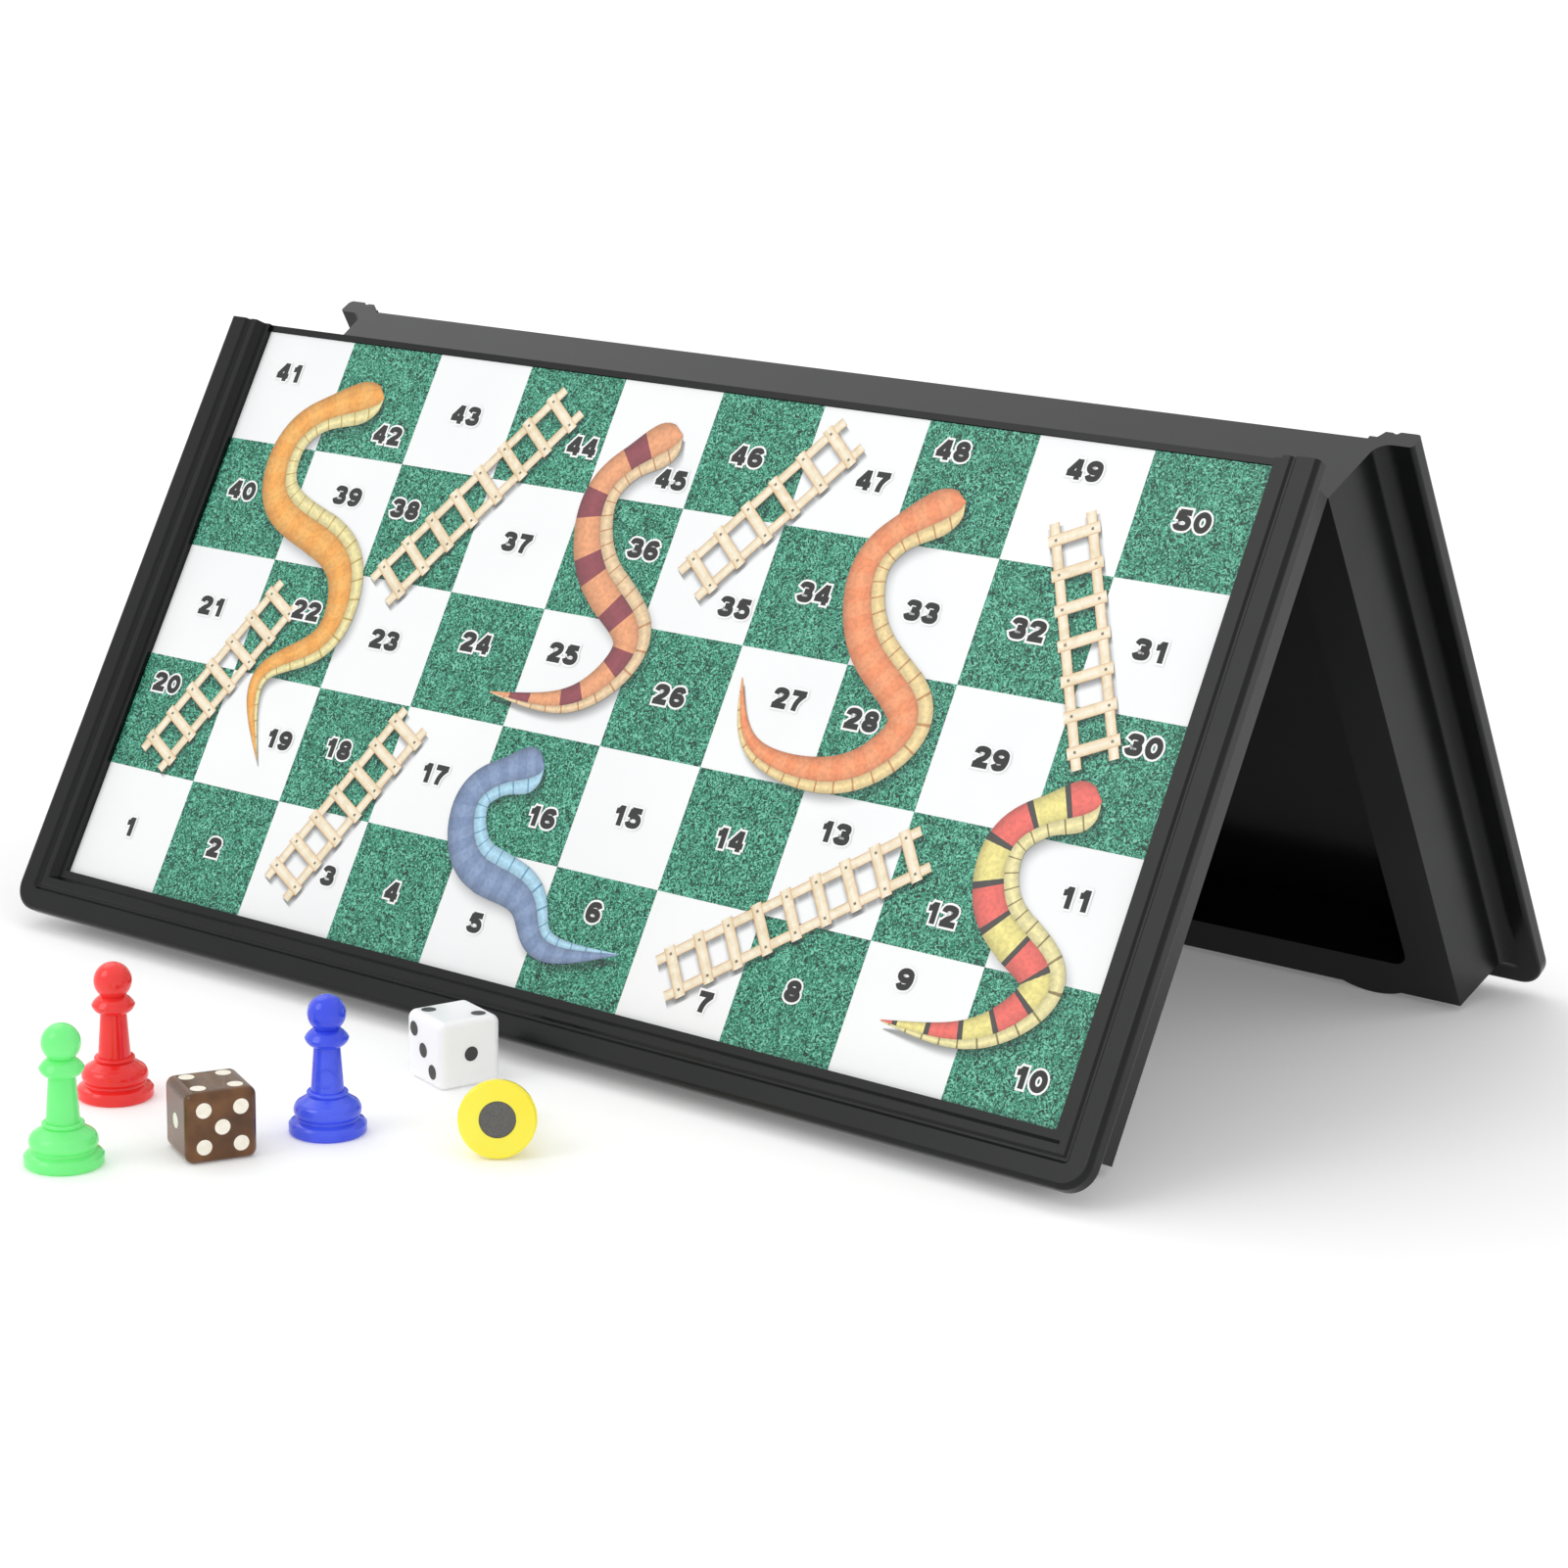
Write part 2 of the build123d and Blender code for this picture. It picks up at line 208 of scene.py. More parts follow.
def laminated_paper():
    """White print paper under clear laminate: smooth, softly glossy, slightly uneven."""
    made, tree, shader = new_material("laminated_paper", **LAMINATE)
    mottle(tree, shader, 40.0, ((0.3, "#eeeff0"), (0.7, "#f4f5f5")))
    uneven_gloss(tree, shader, 14.0, 0.4, 0.5)
    uneven_face(tree, shader, 30.0, 0.02, 0.4, detail=1.0)
    return made


def speckled_green_print():
    """Green ink printed as short curly flecks, like mown felt, under laminate."""
    made, tree, shader = new_material(
        "speckled_green_print", Specular_IOR_Level=0.3, Coat_Weight=0.2, Coat_Roughness=0.16)
    flecks = ((0.38, "#0a2e27"), (0.44, "#165f4c"), (0.51, "#258566"), (0.57, "#45a688"), (0.63, "#7bc6ad"))
    mottle(tree, shader, 0.85, flecks, detail=1.0, distortion=2.6)
    uneven_gloss(tree, shader, 14.0, 0.4, 0.5)
    uneven_face(tree, shader, 30.0, 0.02, 0.4, detail=1.0)
    return made


def printed_ink(name, light, dark, **finish):
    """Flat printed ink with the slight mottle of offset print."""
    made, tree, shader = new_material(name, Roughness=0.5, **finish)
    mottle(tree, shader, 6.0, ((0.3, dark), (0.7, light)))
    return made


def print_place(tree):
    """Place along and across a printed ribbon: millimetres along, 0 to 1 across."""
    flat = add(tree, "ShaderNodeUVMap", uv_map="print")
    return add(tree, "ShaderNodeSeparateXYZ", {"Vector": flat.outputs["UV"]}).outputs


def printed_wood():
    """Pale wood as painted for print: cream bars with peach edges and soft grain."""
    made, tree, shader = new_material("printed_wood", Roughness=0.45, **LAMINATE)
    bar = add(tree, "ShaderNodeValToRGB", {"Fac": print_place(tree)["Y"]}, (
        (0.0, "#e0bd96"), (0.16, "#efdfc0"), (0.5, "#f5eedb"), (0.84, "#ecdcbb"), (1.0, "#d5ad84")))
    place = add(tree, "ShaderNodeTexCoord").outputs["Object"]
    fibres = add(tree, "ShaderNodeTexNoise", {
        "Vector": place, "Scale": 1 / (2.4 * MM), "Detail": 3.0, "Roughness": 0.6, "Distortion": 1.0})
    grain = add(tree, "ShaderNodeValToRGB", {"Fac": fibres.outputs["Fac"]}, (
        (0.35, "#e2d3b4"), (0.6, "#ffffff")))
    patches = add(tree, "ShaderNodeTexNoise", {"Vector": place, "Scale": 1 / (9.0 * MM), "Detail": 2.0})
    share = add(tree, "ShaderNodeMath", {0: patches.outputs["Fac"], 1: 0.9}, operation="MULTIPLY")
    colour = add(tree, "ShaderNodeMix", {
        0: share.outputs[0], 6: bar.outputs["Color"], 7: grain.outputs["Color"]},
        data_type="RGBA", blend_type="MULTIPLY")
    tree.links.new(colour.outputs[2], shader.inputs["Base Color"])
    return made


def cast_shadow_print():
    """Painted soft shadow beside the motifs: it fades out at both edges."""
    made, tree, shader = new_material("cast_shadow_print", Roughness=0.45)
    shader.inputs["Base Color"].default_value = linear("#2f3538")
    across = print_place(tree)["Y"]
    shifted = add(tree, "ShaderNodeMath", {0: across, 1: 0.5}, operation="SUBTRACT")
    off_middle = add(tree, "ShaderNodeMath", {0: shifted.outputs[0]}, operation="ABSOLUTE")
    cover = add(tree, "ShaderNodeMapRange", {
        "Value": off_middle.outputs[0], "From Min": 0.5, "From Max": 0.12, "To Min": 0.0, "To Max": 0.42},
        interpolation_type="SMOOTHSTEP")
    tree.links.new(cover.outputs["Result"], shader.inputs["Alpha"])
    return made


def stripes(tree, along, pitch, stops):
    """Hard stripes across a ribbon, repeated with each pitch along it."""
    turns = add(tree, "ShaderNodeMath", {0: along, 1: 1 / pitch}, operation="MULTIPLY")
    part = add(tree, "ShaderNodeMath", {0: turns.outputs[0]}, operation="FRACT")
    colour = add(tree, "ShaderNodeValToRGB", {"Fac": part.outputs[0]}, stops)
    colour.color_ramp.interpolation = "CONSTANT"
    return colour.outputs["Color"]


def winding_print(name, bands, pitch, belly, seam):
    """Print of a winding body: bands along its back, plates on its belly, shaded as if round."""
    made, tree, shader = new_material(name, Roughness=0.45, **LAMINATE)
    place = print_place(tree)
    back = stripes(tree, place["X"], pitch, bands)
    plates = stripes(tree, place["X"], PLATE_PITCH, ((0.0, seam), (0.09, belly)))
    below = add(tree, "ShaderNodeMath", {0: place["Y"], 1: BELLY_EDGE}, operation="GREATER_THAN")
    flat = add(tree, "ShaderNodeMix", {0: below.outputs[0], 6: back, 7: plates}, data_type="RGBA")
    shade = add(tree, "ShaderNodeValToRGB", {"Fac": place["Y"]}, (
        (0.0, "#bdbdbd"), (0.14, "#e6e6e6"), (0.36, "#ffffff"), (0.6, "#eaeaea"),
        (BELLY_EDGE, "#cfcfcf"), (0.84, "#fdfdfd"), (1.0, "#c8c8c8")))
    on_piece = add(tree, "ShaderNodeTexCoord").outputs["Object"]
    dots = add(tree, "ShaderNodeTexNoise", {"Vector": on_piece, "Scale": 1 / (0.8 * MM), "Detail": 1.0})
    speckle = add(tree, "ShaderNodeValToRGB", {"Fac": dots.outputs["Fac"]}, (
        (0.4, "#efefef"), (0.55, "#ffffff")))
    colour = flat
    for layer in (shade, speckle):
        colour = add(tree, "ShaderNodeMix", {
            0: 1.0, 6: colour.outputs[2], 7: layer.outputs["Color"]},
            data_type="RGBA", blend_type="MULTIPLY")
    tree.links.new(colour.outputs[2], shader.inputs["Base Color"])
    return made


def glossy_plastic(name, deep, light, rough=0.09, glow=0.1):
    """Glossy moulded polystyrene that lets a little light in."""
    made, tree, shader = new_material(
        name, IOR=1.5, Subsurface_Weight=glow, Subsurface_Scale=2.0 * MM)
    shader.inputs["Subsurface Radius"].default_value = linear(light)[:3]
    mottle(tree, shader, 12.0, ((0.3, deep), (0.7, light)), detail=2.0)
    uneven_gloss(tree, shader, 5.0, rough, rough + 0.08)
    return made


def smoky_brown_plastic():
    """Cast brown plastic with clouds: polished, darker inside, redder where it is thin."""
    made, tree, shader = new_material(
        "smoky_brown_plastic", IOR=1.45, Specular_IOR_Level=0.4, Subsurface_Weight=0.15,
        Subsurface_Scale=1.2 * MM, Coat_Weight=0.25, Coat_Roughness=0.04)
    shader.inputs["Subsurface Radius"].default_value = (1.0, 0.5, 0.22)
    mottle(tree, shader, 6.0, ((0.25, "#482a11"), (0.5, "#633d1b"), (0.75, "#7d5228")))
    uneven_gloss(tree, shader, 3.0, 0.15, 0.22)
    return made


def sintered_ferrite():
    """Ferrite magnet: dull grey, grainy."""
    made, tree, shader = new_material("sintered_ferrite", Metallic=0.25)
    mottle(tree, shader, 0.35, ((0.3, "#575654"), (0.7, "#6b6a68")))
    uneven_gloss(tree, shader, 0.8, 0.5, 0.7)
    uneven_face(tree, shader, 0.4, 0.02, 0.5)
    return made


def bare_steel(name, code, rough):
    """Cold rolled steel: metallic, with fine roughness streaks."""
    made, tree, shader = new_material(name, Metallic=1.0)
    mottle(tree, shader, 5.0, ((0.3, code), (0.7, "#c9cacb")))
    uneven_gloss(tree, shader, 0.6, rough, rough + 0.15, detail=3.0)
    return made


def pip_paint(name, code, shade):
    """Paint wiped into the sunk pips: flat and slightly uneven."""
    made, tree, shader = new_material(name)
    mottle(tree, shader, 0.9, ((0.3, shade), (0.7, code)), detail=2.0)
    uneven_gloss(tree, shader, 0.7, 0.4, 0.6)
    uneven_face(tree, shader, 0.7, 0.03, 0.5, detail=2.0)
    return made


def dress(node, material):
    """Gives a node of the frame its material."""
    piece = frame["nodes"][node]
    piece.data.materials.clear()
    piece.data.materials.append(material)


hinge = next(joint for joint in frame["joints"] if joint["name"] == "board_hinge")
HINGE = Vector(hinge["pos_m"])
rear_face = next(mount for mount in frame["record"]["mounts"] if mount["name"] == "rear_play_face")
TILT = atan2(rear_face["axis"][1], rear_face["axis"][2])


def standing(half):
    """From the flat open board to where a half stands."""
    turn = TILT if half == "front" else -TILT
    return Matrix.Translation(HINGE) @ Matrix.Rotation(turn, 4, "X") @ Matrix.Scale(MM, 4)


def new_piece(name, made, material, body):
    """Turns a bmesh in the frame's place into a piece that rides on a body."""
    mesh = bpy.data.meshes.new(name)
    made.to_mesh(mesh)
    made.free()
    mesh.materials.append(material)
    piece = bpy.data.objects.new(name, mesh)
    bpy.context.scene.collection.objects.link(piece)
    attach(piece, body)
    return piece


def print_piece(name, made, half, material):
    """Turns a bmesh drawn on the flat board into print that rides on its half."""
    bmesh.ops.transform(made, matrix=standing(half), verts=made.verts)
    return new_piece(f"{half}_{name}", made, material, f"{half}_half")


def flake(made, corners, low, high):
    """A thin flat solid with the given outline."""
    under = [made.verts.new((x, y, low)) for x, y in corners]
    over = [made.verts.new((x, y, high)) for x, y in corners]
    made.faces.new(list(reversed(under)))
    made.faces.new(over)
    count = len(corners)
    for i in range(count):
        j = (i + 1) % count
        made.faces.new((under[i], under[j], over[j], over[i]))


def row_y(row, half):
    """Y of the lower edge of a row on the flat board: rows count up from the bottom edge."""
    if half == "front":
        return -FIELD_FAR + row * ROW_PITCH
    return FIELD_NEAR + row * ROW_PITCH


def first_row(half):
    """Rows of the track below this half's lowest one."""
    return 0 if half == "front" else ROWS


def on_board(half, spot):
    """Flat place of a spot given in squares from the half's lower left corner."""
    return (-FIELD_HALF_WIDTH + spot[0] * COLUMN_PITCH, row_y(spot[1], half))


def play_sheet(half, material):
    """The printed sheet itself."""
    made = bmesh.new()
    x = FIELD_HALF_WIDTH - SHEET_GAP
    low = row_y(0, half) + SHEET_GAP
    high = row_y(ROWS, half) - SHEET_GAP
    outline = ((-x, low), (x, low), (x, high), (-x, high))
    flake(made, outline, PLAY_HEIGHT - SHEET_THICKNESS, PLAY_HEIGHT)
    piece = print_piece("printed_sheet", made, half, material)
    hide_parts(f"{half}_play_sheet")


def green_squares(half, material):
    """Every other square, in green, cut back to the sheet's edge."""
    made = bmesh.new()
    side = FIELD_HALF_WIDTH - SHEET_GAP
    lowest = row_y(0, half) + SHEET_GAP
    highest = row_y(ROWS, half) - SHEET_GAP
    base = PLAY_HEIGHT + GREEN_LAYER
    for row in range(ROWS):
        for column in range(COLUMNS):
            if (row + first_row(half) + column) % 2 == 0:
                continue
            left = max(-side, -FIELD_HALF_WIDTH + column * COLUMN_PITCH)
            right = min(side, -FIELD_HALF_WIDTH + (column + 1) * COLUMN_PITCH)
            low = max(lowest, row_y(row, half))
            high = min(highest, row_y(row + 1, half))
            flake(made, ((left, low), (right, low), (right, high), (left, high)), base, base + INK)
    print_piece("green_squares", made, half, material)


def ring(x, y, half_width, half_height):
    """Closed round stroke of a digit."""
    points = 18
    turns = [2 * pi * i / points for i in range(points + 1)]
    return [(x + half_width * cos(turn), y + half_height * sin(turn)) for turn in turns]


def smooth_line(points, steps):
    """Points along a smooth line through the given ones."""
    padded = [points[0]] + list(points) + [points[-1]]
    found = []
    for i in range(len(points) - 1):
        a, b, c, d = padded[i:i + 4]
        for step in range(steps):
            t = step / steps
            spot = []
            for k in (0, 1):
                spot.append(0.5 * (2 * b[k] + (c[k] - a[k]) * t
                            + (2 * a[k] - 5 * b[k] + 4 * c[k] - d[k]) * t * t
                            + (3 * b[k] - a[k] - 3 * c[k] + d[k]) * t ** 3))
            found.append(tuple(spot))
    found.append(tuple(points[-1]))
    return found


def hook(*points):
    """Curved stroke of a digit."""
    return smooth_line(points, 3)


def is_closed(line):
    """True for a line that ends where it starts, apart from rounding."""
    return hypot(line[0][0] - line[-1][0], line[0][1] - line[-1][1]) < 1e-6


def ribbon(made, line, half_widths, heights, lanes=1):
    """Adds a flat ribbon along a line, with its print coordinates: millimetres along, 0 to 1 across."""
    uv = made.loops.layers.uv.get("print") or made.loops.layers.uv.new("print")
    closed = is_closed(line)
    along = 0.0
    rows = []
    for i, spot in enumerate(line):
        before = line[i - 1] if i > 0 else (line[-2] if closed else spot)
        after = line[i + 1] if i < len(line) - 1 else (line[1] if closed else spot)
        run = hypot(after[0] - before[0], after[1] - before[1])
        v = (-(after[1] - before[1]) / run, (after[0] - before[0]) / run)
        if i > 0:
            along += hypot(spot[0] - before[0], spot[1] - before[1])
        row = []
        for lane in range(lanes + 1):
            side = half_widths[i] * (2 * lane / lanes - 1)
            place = (spot[0] + v[0] * side, spot[1] + v[1] * side, PLAY_HEIGHT + heights[i])
            row.append((made.verts.new(place), (along, lane / lanes)))
        rows.append(row)
    for low, high in zip(rows, rows[1:]):
        for lane in range(lanes):
            corners = (low[lane], high[lane], high[lane + 1], low[lane + 1])
            face = made.faces.new([corner[0] for corner in corners])
            for loop, corner in zip(face.loops, corners):
                loop[uv].uv = corner[1]


def even_ribbon(made, line, width, height):
    """A ribbon of one width at one height."""
    ribbon(made, line, [width / 2] * len(line), [height] * len(line))


def pushed_out(end, near, reach):
    """The end of a line, moved on past it."""
    run = hypot(end[0] - near[0], end[1] - near[1])
    return (end[0] + (end[0] - near[0]) / run * reach, end[1] + (end[1] - near[1]) / run * reach)


def longer(line, reach):
    """An open line made longer at both ends."""
    if is_closed(line):
        return line
    return [pushed_out(line[0], line[1], reach)] + line[1:-1] + [pushed_out(line[-1], line[-2], reach)]


SIX = (ring(0.45, 0.335, 0.30, 0.21),
       hook((0.73, 0.71), (0.64, 0.85), (0.46, 0.87), (0.25, 0.80), (0.15, 0.56), (0.15, 0.34)))

# Strokes of each digit in a box one high, as lines through the middle of the stroke
STROKES = {
    "0": (ring(0.45, 0.5, 0.30, 0.37),),
    "1": ([(0.50, 0.0), (0.50, 1.0)],
          hook((0.14, 0.70), (0.32, 0.73), (0.47, 0.93))),
    "2": (hook((0.14, 0.65), (0.20, 0.82), (0.45, 0.87), (0.70, 0.80), (0.73, 0.64),
               (0.58, 0.46), (0.34, 0.31), (0.18, 0.13)),
          [(0.05, 0.125), (0.86, 0.125)]),
    "3": (hook((0.14, 0.70), (0.24, 0.85), (0.45, 0.87), (0.68, 0.82), (0.71, 0.67),
               (0.60, 0.55), (0.36, 0.53)),
          hook((0.36, 0.53), (0.64, 0.49), (0.75, 0.33), (0.68, 0.17), (0.45, 0.13),
               (0.22, 0.16), (0.13, 0.32))),
    "4": ([(0.63, 0.0), (0.63, 1.0)],
          [(0.60, 0.94), (0.13, 0.32)],
          [(0.04, 0.29), (0.86, 0.29)]),
    "5": ([(0.80, 0.87), (0.18, 0.87)],
          [(0.25, 0.92), (0.18, 0.50)],
          hook((0.18, 0.51), (0.42, 0.60), (0.66, 0.53), (0.75, 0.36), (0.67, 0.18),
               (0.43, 0.13), (0.20, 0.17), (0.12, 0.30))),
    "6": SIX,
    "7": ([(0.06, 0.87), (0.85, 0.87)],
          hook((0.77, 0.86), (0.53, 0.60), (0.39, 0.32), (0.35, 0.0))),
    "8": (ring(0.45, 0.695, 0.25, 0.175),
          ring(0.45, 0.315, 0.30, 0.19)),
    "9": tuple([(0.90 - x, 1.0 - y) for x, y in stroke] for stroke in SIX),
}


def digits(made, words, spot, grow, height):
    """Adds the strokes of a number centred on a spot, grown outwards for a halo."""
    steps = [DIGIT_ONE_STEP if word == "1" else DIGIT_STEP for word in words]
    left = spot[0] - sum(steps) / 2
    low = spot[1] - DIGIT_HEIGHT / 2
    width = STROKE_WIDTH + 2 * grow
    for word, step in zip(words, steps):
        for layer, stroke in enumerate(STROKES[word]):
            line = [(left + x * DIGIT_HEIGHT, low + y * DIGIT_HEIGHT) for x, y in stroke]
            even_ribbon(made, longer(line, grow), width, height + layer * STROKE_LIFT)
        left += step


def numbers(half):
    """The squares' numbers: the track winds to and fro, upwards."""
    dark = bmesh.new()
    pale = bmesh.new()
    for row in range(ROWS):
        track_row = row + first_row(half)
        for step in range(COLUMNS):
            column = step if track_row % 2 == 0 else COLUMNS - 1 - step
            number = track_row * COLUMNS + step + 1
            nudge = number_nudges.get(number, (0.0, 0.0))
            spot = on_board(half, (column + 0.5 + nudge[0], row + 0.5 + nudge[1]))
            digits(dark, str(number), spot, 0.0, NUMBER_LAYER)
            digits(pale, str(number), spot, HALO_REACH, HALO_LAYER)
    print_piece("numbers", dark, half, number_ink)
    print_piece("number_halos", pale, half, halo_ink)


def ladder(wood, pegs, shadow, foot, head):
    """Adds one printed ladder between two flat places."""
    rung_reach = RAIL_GAP / 2 + RAIL_WIDTH / 2 + RUNG_OVERHANG
    run = hypot(head[0] - foot[0], head[1] - foot[1])
    u = ((head[0] - foot[0]) / run, (head[1] - foot[1]) / run)
    v = (-u[1], u[0])

    def bar(made, start, end, width, layer, shift=(0.0, 0.0)):
        line = [(foot[0] + u[0] * a + v[0] * b + shift[0], foot[1] + u[1] * a + v[1] * b + shift[1])
                for a, b in (start, end)]
        even_ribbon(made, line, width, layer)

    def shaded_bar(start, end, width, layer):
        bar(wood, start, end, width, layer)
        bar(shadow, start, end, width + LADDER_SHADOW_SPREAD, SHADOW_LAYER, LADDER_SHADOW_SHIFT)

    rails = (-RAIL_GAP / 2, RAIL_GAP / 2)
    for b in rails:
        shaded_bar((0, b), (run, b), RAIL_WIDTH, LADDER_LAYER)
    count = max(2, round(run / RUNG_PITCH))
    for i in range(count):
        a = run * (i + 0.5) / count
        shaded_bar((a, -rung_reach), (a, rung_reach), RUNG_WIDTH, LADDER_LAYER + INK)
        for b in rails:
            bar(pegs, (a - PEG_SIZE / 2, b), (a + PEG_SIZE / 2, b), PEG_SIZE, LADDER_LAYER + 2 * INK)


def body_width(share):
    """Half width of a winding body: round end, slimmer neck, full middle, long thin tail."""
    if share < HEAD_SHARE:
        return BODY_HALF_WIDTH * (1 - ((HEAD_SHARE - share) / HEAD_SHARE) ** 2) ** 0.5 + HEAD_TIP
    if share < NECK_SHARE:
        t = (share - HEAD_SHARE) / (NECK_SHARE - HEAD_SHARE)
        return BODY_HALF_WIDTH + (NECK_HALF_WIDTH - BODY_HALF_WIDTH) * (3 * t * t - 2 * t ** 3)
    if share < MIDDLE_SHARE:
        t = (share - NECK_SHARE) / (MIDDLE_SHARE - NECK_SHARE)
        return NECK_HALF_WIDTH + (BODY_HALF_WIDTH - NECK_HALF_WIDTH) * sin(t * pi / 2)
    t = (share - MIDDLE_SHARE) / (1 - MIDDLE_SHARE)
    return BODY_HALF_WIDTH * (1 - t ** TAIL_POWER) + TAIL_TIP


def rounded(line, passes):
    """A line with its sharp bends eased."""
    for _ in range(passes):
        inner = [((a[0] + 2 * b[0] + c[0]) / 4, (a[1] + 2 * b[1] + c[1]) / 4)
                 for a, b, c in zip(line, line[1:], line[2:])]
        line = [line[0]] + inner + [line[-1]]
    return line


def winding_body(made, shadow, points):
    """Adds one winding tapered body, higher at its head, and its painted shadow."""
    line = rounded(smooth_line(points, BODY_STEPS), BEND_PASSES)
    lengths = [0.0]
    for a, b in zip(line, line[1:]):
        lengths.append(lengths[-1] + hypot(b[0] - a[0], b[1] - a[1]))
    shares = [length / lengths[-1] for length in lengths]
    half_widths = [body_width(share) for share in shares]
    climb = [WINDING_LAYER + WINDING_CLIMB * (1 - share) for share in shares]
    ribbon(made, line, half_widths, climb, BODY_LANES)
    moved = [(x + BODY_SHADOW_SHIFT[0], y + BODY_SHADOW_SHIFT[1]) for x, y in line]
    wider = [BODY_SHADOW_SPREAD * half_width for half_width in half_widths]
    ribbon(shadow, moved, wider, [SHADOW_LAYER + INK / 2] * len(line), BODY_LANES)


# Where the numbers sit off the middle of their squares, in squares: chosen clear of the motifs
number_nudges = {
    3: (0.30, 0.0), 5: (-0.08, -0.08), 6: (0.0, 0.22), 7: (0.27, -0.24), 9: (-0.1, 0.28), 10: (0.16, -0.2),
    11: (0.05, 0.12), 12: (0.02, -0.2), 13: (-0.1, 0.22), 16: (0.2, -0.15), 18: (-0.07, 0.03),
    19: (0.27, 0.0), 20: (-0.18, 0.27), 22: (0.06, 0.12), 24: (-0.05, 0.12), 25: (-0.15, 0.17),
    27: (0.1, 0.15), 28: (-0.2, 0.1), 30: (0.2, 0.3), 32: (-0.05, 0.0), 35: (0.32, -0.22),
    36: (0.27, 0.12), 38: (-0.28, 0.12), 39: (0.05, 0.15), 40: (-0.14, 0.05), 41: (-0.1, 0.15),
    42: (0.24, -0.27), 44: (0.31, -0.12), 45: (0.3, -0.28), 46: (-0.05, 0.0), 47: (0.18, -0.05),
    48: (-0.2, 0.28), 49: (-0.02, 0.27),
    52: (0.0, -0.2), 55: (0.28, -0.15), 56: (-0.15, 0.0), 57: (0.2, -0.1), 58: (0.22, 0.3),
    60: (-0.22, 0.27), 62: (0.22, -0.12), 63: (-0.27, 0.27), 64: (0.1, -0.36), 65: (0.15, 0.25),
    66: (-0.08, 0.05), 67: (0.05, -0.05), 69: (0.22, 0.0), 70: (0.14, 0.05), 71: (-0.3, 0.0),
    73: (-0.15, -0.25), 74: (-0.3, 0.2), 76: (0.28, -0.1), 78: (-0.1, 0.0), 79: (0.28, 0.15),
    81: (-0.05, 0.0), 82: (0.1, 0.08), 83: (0.0, 0.26), 85: (-0.2, 0.25), 87: (-0.12, 0.0),
    88: (0.12, 0.17), 89: (-0.12, -0.05), 90: (0.1, 0.0), 91: (0.1, 0.32), 93: (0.28, -0.22),
    94: (-0.15, 0.2), 95: (0.3, -0.15), 99: (0.28, -0.2), 100: (-0.06, 0.2),
}

# Ladders on each half, foot and head in squares from the lower left corner
ladders = {
    "front": (
        ((2.25, 2.9), (3.55, 4.75)),
        ((0.45, 1.1), (1.3, 2.75)),
        ((5.3, 3.4), (6.35, 4.8)),
        ((6.3, 0.35), (8.2, 1.75)),
        ((9.35, 2.6), (8.5, 4.4)),
        ((2.3, 0.3), (3.1, 1.9)),
    ),
    "rear": (
        ((0.6, 0.4), (1.7, 2.2)),
        ((3.5, 1.3), (2.6, 3.4)),
        ((5.4, 0.6), (6.6, 2.4)),
        ((8.6, 0.7), (7.7, 2.8)),
        ((4.5, 3.2), (5.6, 4.7)),
    ),
}

# Winding bodies on each half: kind, then points from head to tail
windings = {
    "front": (
        ("orange", ((1.55, 4.55), (0.75, 4.2), (0.8, 3.5), (1.75, 3.15), (1.9, 2.4), (1.25, 2.0),
                    (1.6, 1.3))),
        ("maroon", ((4.75, 4.6), (4.15, 4.1), (4.35, 3.4), (5.0, 2.9), (4.6, 2.3), (3.75, 2.25))),
        ("coral", ((7.55, 4.4), (6.9, 3.9), (7.1, 3.2), (7.75, 2.7), (7.3, 2.15), (6.4, 2.2),
                   (6.1, 2.75))),
        ("banded", ((9.5, 2.35), (8.85, 2.0), (8.95, 1.4), (9.55, 1.0), (9.1, 0.5), (8.3, 0.45))),
        ("blue", ((4.55, 1.75), (3.95, 1.45), (4.15, 0.9), (4.8, 0.75), (5.1, 0.35), (5.85, 0.45))),
    ),
    "rear": (
        ("coral", ((1.45, 4.6), (0.7, 4.1), (0.95, 3.4), (1.6, 3.0), (1.5, 2.5))),
        ("blue", ((4.4, 2.6), (3.9, 2.1), (4.2, 1.4), (4.9, 1.2), (4.8, 0.5))),
        ("orange", ((7.4, 4.6), (6.7, 4.2), (6.8, 3.5), (7.6, 3.2), (7.3, 2.6), (6.6, 2.7))),
        ("banded", ((9.5, 4.4), (8.8, 3.9), (9.1, 3.2), (9.6, 2.6), (9.1, 1.9), (9.4, 1.2))),
        ("maroon", ((2.6, 1.6), (2.1, 1.1), (2.6, 0.5), (3.4, 0.5))),
    ),
}

# Print of each kind of winding body: bands of its back, their pitch, its belly and the belly's seams
winding_looks = {
    "orange": (((0.0, "#f8ac4c"), (0.5, "#fab65a")), 6.0, "#f8ecaa", "#cdb062"),
    "maroon": (((0.0, "#f3a877"), (0.6, "#94404c")), 12.0, "#f8d9ac", "#cf9868"),
    "coral": (((0.0, "#f8955f"), (0.5, "#faa06b")), 5.0, "#fbe0a0", "#cf9658"),
    "banded": (((0.0, "#f46a5e"), (0.42, "#3a3531"), (0.5, "#f5e88c"), (0.92, "#3a3531")), 13.0,
               "#f7ecaa", "#95834a"),
    "blue": (((0.0, "#7b93ba"), (0.5, "#889fc5")), 4.0, "#b4e3fa", "#6ca3c5"),
}
winding_inks = {kind: winding_print(f"{kind}_winding_print", *look) for kind, look in winding_looks.items()}
wood_ink = printed_wood()
peg_ink = printed_ink("peg_print", "#8d7a5c", "#6f5f47", **LAMINATE)
shadow_ink = cast_shadow_print()
number_ink = printed_ink("number_print", "#232324", "#1a1a1b")
